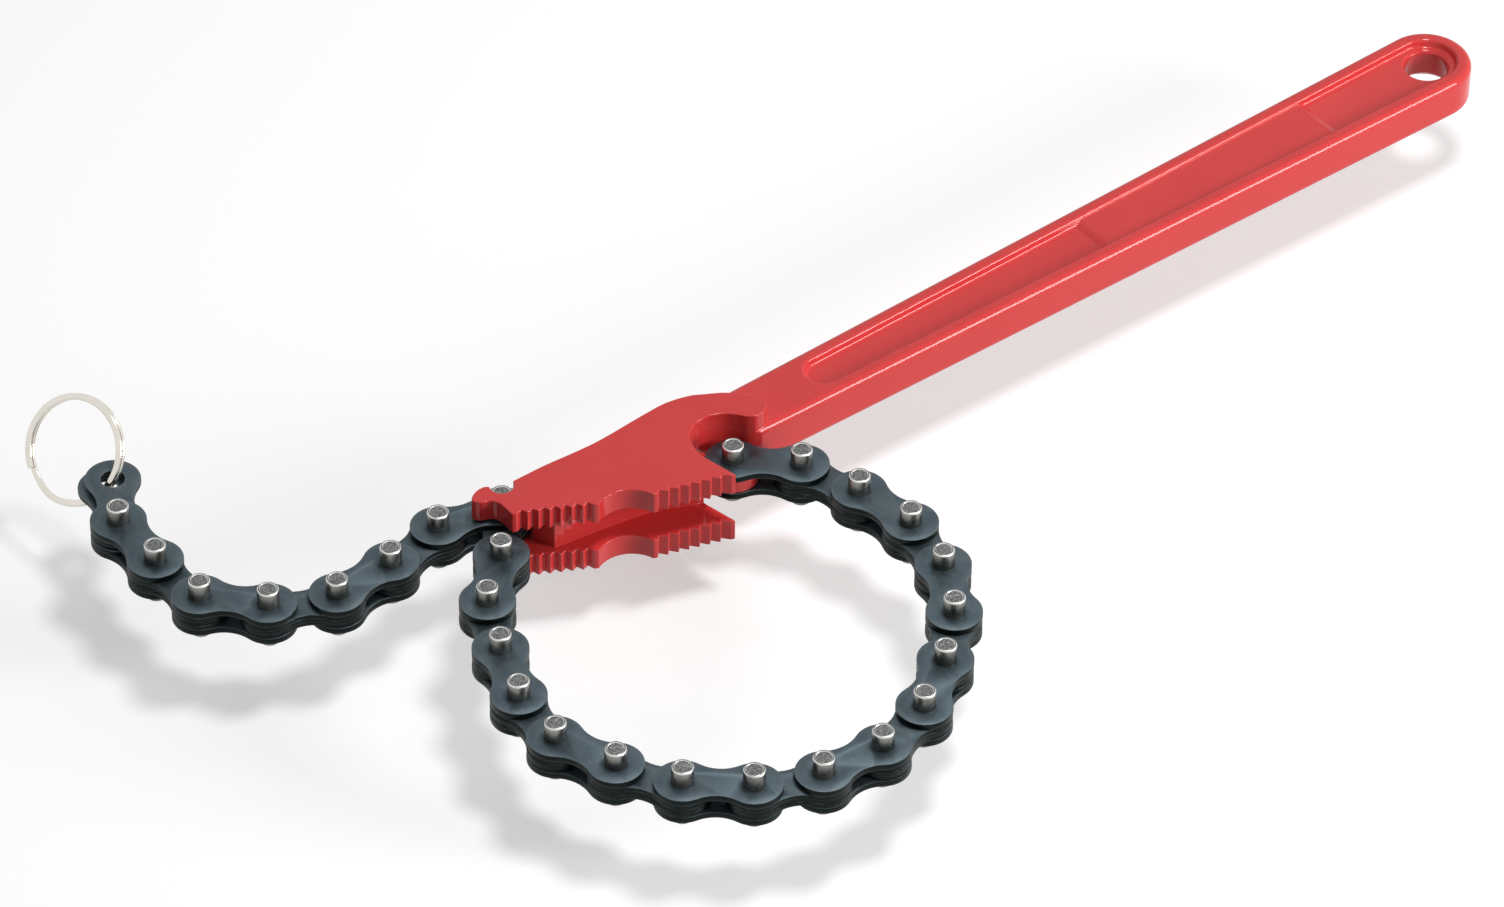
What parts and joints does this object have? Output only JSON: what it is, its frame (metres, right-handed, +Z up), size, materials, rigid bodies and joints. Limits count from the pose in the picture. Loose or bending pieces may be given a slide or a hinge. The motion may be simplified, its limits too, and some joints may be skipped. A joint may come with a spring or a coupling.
{
  "type": "chain pipe wrench",
  "caption": "Forged handle with two toothed jaw plates and a long leaf chain pinned between them, hooked over the toe in a loop, with a split ring in its free end.",
  "frame": {"origin": "on the flat underside of the lower jaw plate, on the centre line of the handle, 24 mm behind the anchor pin", "axes": "+X along the handle from the jaws to the hanging hole, +Z up out of the upper jaw plate, parallel to every chain pin"},
  "size_m": [0.3637, 0.2097, 0.024],
  "materials": {
    "red_paint": "gloss enamel over forged steel",
    "dark_pin_link": "blackened steel, pin ends worn bright",
    "dark_plate": "blackened steel",
    "dark_leaf": "blackened steel leaves",
    "bright_nickel": "nickel plated spring wire"
  },
  "bodies": {
    "wrench": {"wrench_body": "red_paint"},
    "outer_link_13": {"pin_link_13": "dark_pin_link", "cover_plate_13": "dark_plate"},
    "inner_link_12": {"inner_link_12": "dark_leaf"},
    "outer_link_12": {"pin_link_12": "dark_pin_link", "cover_plate_12": "dark_plate"},
    "inner_link_11": {"inner_link_11": "dark_leaf"},
    "outer_link_11": {"pin_link_11": "dark_pin_link", "cover_plate_11": "dark_plate"},
    "inner_link_10": {"inner_link_10": "dark_leaf"},
    "outer_link_10": {"pin_link_10": "dark_pin_link", "cover_plate_10": "dark_plate"},
    "inner_link_09": {"inner_link_09": "dark_leaf"},
    "outer_link_09": {"pin_link_09": "dark_pin_link", "cover_plate_09": "dark_plate"},
    "inner_link_08": {"inner_link_08": "dark_leaf"},
    "outer_link_08": {"pin_link_08": "dark_pin_link", "cover_plate_08": "dark_plate"},
    "inner_link_07": {"inner_link_07": "dark_leaf"},
    "outer_link_07": {"pin_link_07": "dark_pin_link", "cover_plate_07": "dark_plate"},
    "inner_link_06": {"inner_link_06": "dark_leaf"},
    "outer_link_06": {"pin_link_06": "dark_pin_link", "cover_plate_06": "dark_plate"},
    "inner_link_05": {"inner_link_05": "dark_leaf"},
    "outer_link_05": {"pin_link_05": "dark_pin_link", "cover_plate_05": "dark_plate"},
    "inner_link_04": {"inner_link_04": "dark_leaf"},
    "outer_link_04": {"pin_link_04": "dark_pin_link", "cover_plate_04": "dark_plate"},
    "inner_link_03": {"inner_link_03": "dark_leaf"},
    "outer_link_03": {"pin_link_03": "dark_pin_link", "cover_plate_03": "dark_plate"},
    "inner_link_02": {"inner_link_02": "dark_leaf"},
    "outer_link_02": {"pin_link_02": "dark_pin_link", "cover_plate_02": "dark_plate"},
    "inner_link_01": {"inner_link_01": "dark_leaf"},
    "outer_link_01": {"pin_link_01": "dark_pin_link", "cover_plate_01": "dark_plate"},
    "end_link": {"end_plate_upper": "dark_plate", "end_plate_lower": "dark_plate"},
    "ring": {"split_ring": "bright_nickel"}
  },
  "joints": [
    {"name": "pin_26_hinge", "type": "hinge", "parent": "wrench", "child": "outer_link_13", "pos_m": [0.024, -0.00985, 0.01], "axis": [0, 0, 1], "range_deg": [-24.4, 0]},
    {"name": "pin_25_hinge", "type": "hinge", "parent": "outer_link_13", "child": "inner_link_12", "pos_m": [0.03567, -0.02061, 0.01], "axis": [0, 0, 1], "range_deg": [-22.3, 0]},
    {"name": "pin_24_hinge", "type": "hinge", "parent": "inner_link_12", "child": "outer_link_12", "pos_m": [0.04064, -0.03569, 0.01], "axis": [0, 0, 1], "range_deg": [-17, 0]},
    {"name": "pin_23_hinge", "type": "hinge", "parent": "outer_link_12", "child": "inner_link_11", "pos_m": [0.04316, -0.05136, 0.01], "axis": [0, 0, 1], "range_deg": [-11.4, 0]},
    {"name": "pin_22_hinge", "type": "hinge", "parent": "inner_link_11", "child": "outer_link_11", "pos_m": [0.04014, -0.06695, 0.01], "axis": [0, 0, 1], "range_deg": [-5.6, 0]},
    {"name": "pin_21_hinge", "type": "hinge", "parent": "outer_link_11", "child": "inner_link_10", "pos_m": [0.03219, -0.08069, 0.01], "axis": [0, 0, 1], "range_deg": [-2.7, 0]},
    {"name": "pin_20_hinge", "type": "hinge", "parent": "inner_link_10", "child": "outer_link_10", "pos_m": [0.02074, -0.09169, 0.01], "axis": [0, 0, 1], "range_deg": [0, 4.5]},
    {"name": "pin_19_hinge", "type": "hinge", "parent": "outer_link_10", "child": "inner_link_09", "pos_m": [0.00755, -0.10051, 0.01], "axis": [0, 0, 1], "range_deg": [0, 8.3]},
    {"name": "pin_18_hinge", "type": "hinge", "parent": "inner_link_09", "child": "outer_link_09", "pos_m": [-0.00774, -0.1048, 0.01], "axis": [0, 0, 1], "range_deg": [0, 10.5]},
    {"name": "pin_17_hinge", "type": "hinge", "parent": "outer_link_09", "child": "inner_link_08", "pos_m": [-0.02357, -0.10357, 0.01], "axis": [0, 0, 1], "range_deg": [0, 10.8]},
    {"name": "pin_16_hinge", "type": "hinge", "parent": "inner_link_08", "child": "outer_link_08", "pos_m": [-0.03812, -0.09724, 0.01], "axis": [0, 0, 1], "range_deg": [0, 9.1]},
    {"name": "pin_15_hinge", "type": "hinge", "parent": "outer_link_08", "child": "inner_link_07", "pos_m": [-0.05017, -0.0869, 0.01], "axis": [0, 0, 1], "range_deg": [0, 5.8]},
    {"name": "pin_14_hinge", "type": "hinge", "parent": "inner_link_07", "child": "outer_link_07", "pos_m": [-0.05842, -0.07334, 0.01], "axis": [0, 0, 1], "range_deg": [-2.7, 0]},
    {"name": "pin_13_hinge", "type": "hinge", "parent": "outer_link_07", "child": "inner_link_06", "pos_m": [-0.0639, -0.05844, 0.01], "axis": [0, 0, 1], "range_deg": [-4.2, 0]},
    {"name": "pin_12_hinge", "type": "hinge", "parent": "inner_link_06", "child": "outer_link_06", "pos_m": [-0.06227, -0.04265, 0.01], "axis": [0, 0, 1], "range_deg": [-10, 0]},
    {"name": "pin_11_hinge", "type": "hinge", "parent": "outer_link_06", "child": "inner_link_05", "pos_m": [-0.05633, -0.02793, 0.01], "axis": [0, 0, 1], "range_deg": [-15.7, 0]},
    {"name": "pin_10_hinge", "type": "hinge", "parent": "inner_link_05", "child": "outer_link_05", "pos_m": [-0.04934, -0.01367, 0.01], "axis": [0, 0, 1], "range_deg": [-21.2, 0]},
    {"name": "pin_09_hinge", "type": "hinge", "parent": "outer_link_05", "child": "inner_link_04", "pos_m": [-0.03751, -0.00308, 0.01], "axis": [0, 0, 1], "range_deg": [-25.5, 0]},
    {"name": "pin_08_hinge", "type": "hinge", "parent": "inner_link_04", "child": "outer_link_04", "pos_m": [-0.0279, 0.00955, 0.01], "axis": [0, 0, 1], "range_deg": [-110, 13]},
    {"name": "pin_07_hinge", "type": "hinge", "parent": "outer_link_04", "child": "inner_link_03", "pos_m": [-0.04337, 0.01312, 0.01], "axis": [0, 0, -1], "range_deg": [-42, 110]},
    {"name": "pin_06_hinge", "type": "hinge", "parent": "inner_link_03", "child": "outer_link_03", "pos_m": [-0.05895, 0.01009, 0.01], "axis": [0, 0, 1], "range_deg": [-95, 78]},
    {"name": "pin_05_hinge", "type": "hinge", "parent": "outer_link_03", "child": "inner_link_02", "pos_m": [-0.07479, 0.00898, 0.01], "axis": [0, 0, -1], "range_deg": [-130, 83]},
    {"name": "pin_04_hinge", "type": "hinge", "parent": "inner_link_02", "child": "outer_link_02", "pos_m": [-0.08918, 0.01569, 0.01], "axis": [0, 0, 1], "range_deg": [-70, 145]},
    {"name": "pin_03_hinge", "type": "hinge", "parent": "outer_link_02", "child": "inner_link_01", "pos_m": [-0.0998, 0.02749, 0.01], "axis": [0, 0, -1], "range_deg": [-160, 65]},
    {"name": "pin_02_hinge", "type": "hinge", "parent": "inner_link_01", "child": "outer_link_01", "pos_m": [-0.1009, 0.04333, 0.01], "axis": [0, 0, 1], "range_deg": [-83, 130]},
    {"name": "pin_01_hinge", "type": "hinge", "parent": "outer_link_01", "child": "end_link", "pos_m": [-0.10007, 0.05918, 0.01], "axis": [0, 0, -1], "range_deg": [-145, 95]},
    {"name": "ring_swing", "type": "hinge", "parent": "end_link", "child": "ring", "pos_m": [-0.09288, 0.07331, 0.01], "axis": [0, 0, 1], "range_deg": [-70, 55]}
  ],
  "couplings": [
    {"joint": "pin_25_hinge", "follows": "pin_26_hinge", "ratio": 0.866},
    {"joint": "pin_24_hinge", "follows": "pin_26_hinge", "ratio": 0.66},
    {"joint": "pin_23_hinge", "follows": "pin_26_hinge", "ratio": 0.44},
    {"joint": "pin_22_hinge", "follows": "pin_26_hinge", "ratio": 0.213},
    {"joint": "pin_21_hinge", "follows": "pin_26_hinge", "ratio": 0.102},
    {"joint": "pin_20_hinge", "follows": "pin_26_hinge", "ratio": -0.172},
    {"joint": "pin_19_hinge", "follows": "pin_26_hinge", "ratio": -0.32},
    {"joint": "pin_18_hinge", "follows": "pin_26_hinge", "ratio": -0.407},
    {"joint": "pin_17_hinge", "follows": "pin_26_hinge", "ratio": -0.416},
    {"joint": "pin_16_hinge", "follows": "pin_26_hinge", "ratio": -0.35},
    {"joint": "pin_15_hinge", "follows": "pin_26_hinge", "ratio": -0.223},
    {"joint": "pin_14_hinge", "follows": "pin_26_hinge", "ratio": 0.102},
    {"joint": "pin_13_hinge", "follows": "pin_26_hinge", "ratio": 0.159},
    {"joint": "pin_12_hinge", "follows": "pin_26_hinge", "ratio": 0.387},
    {"joint": "pin_11_hinge", "follows": "pin_26_hinge", "ratio": 0.607},
    {"joint": "pin_10_hinge", "follows": "pin_26_hinge", "ratio": 0.822},
    {"joint": "pin_09_hinge", "follows": "pin_26_hinge", "ratio": 0.993}
  ]
}
